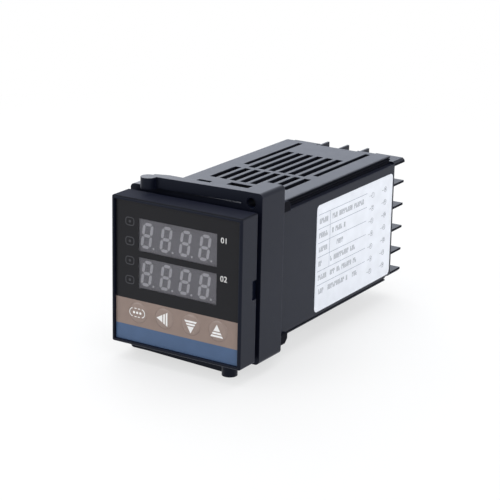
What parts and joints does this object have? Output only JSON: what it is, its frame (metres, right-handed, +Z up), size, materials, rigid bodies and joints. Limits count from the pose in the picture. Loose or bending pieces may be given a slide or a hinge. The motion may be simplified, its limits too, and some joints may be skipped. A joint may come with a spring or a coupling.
{
  "type": "pid temperature controller",
  "caption": "Panel-mount temperature controller: square front with digit windows and push keys, vented box case, sliding clamp frame and finned screw terminals at the rear.",
  "frame": {"origin": "middle of the panel seat, in the plane of the front frame's rear rim", "axes": "+X right seen from the front, +Y backwards into the panel, +Z up"},
  "size_m": [0.0486, 0.108, 0.0588],
  "materials": {
    "bezel_plastic": "fine satin moulding",
    "case_plastic": "fine satin moulding",
    "frame_plastic": "satin moulding",
    "block_plastic": "satin moulding",
    "film_print": "printed film",
    "key_film": "embossed film dome",
    "display_face": "grey digit block",
    "lamp_lens": "tinted lens",
    "switch_plastic": "moulded",
    "plunger_plastic": "moulded",
    "circuit_board": "solder mask",
    "label_sheet": "white label",
    "contact_brass": "bright",
    "fastener_steel": "zinc plated",
    "core_iron": "dull",
    "bobbin_plastic": "moulded",
    "winding_wire": "enamelled wire",
    "can_aluminium": "printed sleeve",
    "relay_plastic": "moulded",
    "chip_plastic": "moulded",
    "header_plastic": "moulded"
  },
  "bodies": {
    "case": {"case_shell": "case_plastic", "terminal_block": "block_plastic", "terminal_screws": "fastener_steel", "terminal_washers": "fastener_steel", "side_label": "label_sheet", "terminal_strip_1": "contact_brass", "terminal_strip_10": "contact_brass", "terminal_strip_11": "contact_brass", "terminal_strip_12": "contact_brass", "terminal_strip_13": "contact_brass", "terminal_strip_14": "contact_brass", "terminal_strip_2": "contact_brass", "terminal_strip_3": "contact_brass", "terminal_strip_4": "contact_brass", "terminal_strip_5": "contact_brass", "terminal_strip_6": "contact_brass", "terminal_strip_7": "contact_brass", "terminal_strip_8": "contact_brass", "terminal_strip_9": "contact_brass"},
    "frame": {"mounting_frame": "frame_plastic"},
    "chassis": {"board_header_left": "header_plastic", "board_header_right": "header_plastic", "control_board": "circuit_board", "display_board": "circuit_board", "display_module_lower": "display_face", "display_module_upper": "display_face", "filter_capacitor": "can_aluminium", "front_bezel": "bezel_plastic", "front_film": "film_print", "indicator_lamp_1": "lamp_lens", "indicator_lamp_2": "lamp_lens", "indicator_lamp_3": "lamp_lens", "indicator_lamp_4": "lamp_lens", "key_switch_1": "switch_plastic", "key_switch_2": "switch_plastic", "key_switch_3": "switch_plastic", "key_switch_4": "switch_plastic", "output_capacitor": "can_aluminium", "output_relay_1": "relay_plastic", "output_relay_2": "relay_plastic", "power_board": "circuit_board", "processor_chip": "chip_plastic", "transformer_bobbin": "bobbin_plastic", "transformer_core": "core_iron", "transformer_winding": "winding_wire"},
    "key_set": {"key_set": "key_film", "switch_plunger_1": "plunger_plastic"},
    "key_shift": {"key_shift": "key_film", "switch_plunger_2": "plunger_plastic"},
    "key_down": {"key_down": "key_film", "switch_plunger_3": "plunger_plastic"},
    "key_up": {"key_up": "key_film", "switch_plunger_4": "plunger_plastic"}
  },
  "joints": [
    {"name": "frame_slide", "type": "slide", "parent": "case", "child": "frame", "axis": [0, 1, 0], "range_m": [0, 0.07]},
    {"name": "chassis_slide", "type": "slide", "parent": "case", "child": "chassis", "axis": [0, -1, 0], "range_m": [0, 0.084]},
    {"name": "key_set_press", "type": "slide", "parent": "chassis", "child": "key_set", "axis": [0, 1, 0], "range_m": [0, 0.0003], "stiffness_N_per_m": 400, "springref_m": -0.001},
    {"name": "key_shift_press", "type": "slide", "parent": "chassis", "child": "key_shift", "axis": [0, 1, 0], "range_m": [0, 0.0003], "stiffness_N_per_m": 400, "springref_m": -0.001},
    {"name": "key_down_press", "type": "slide", "parent": "chassis", "child": "key_down", "axis": [0, 1, 0], "range_m": [0, 0.0003], "stiffness_N_per_m": 400, "springref_m": -0.001},
    {"name": "key_up_press", "type": "slide", "parent": "chassis", "child": "key_up", "axis": [0, 1, 0], "range_m": [0, 0.0003], "stiffness_N_per_m": 400, "springref_m": -0.001}
  ]
}
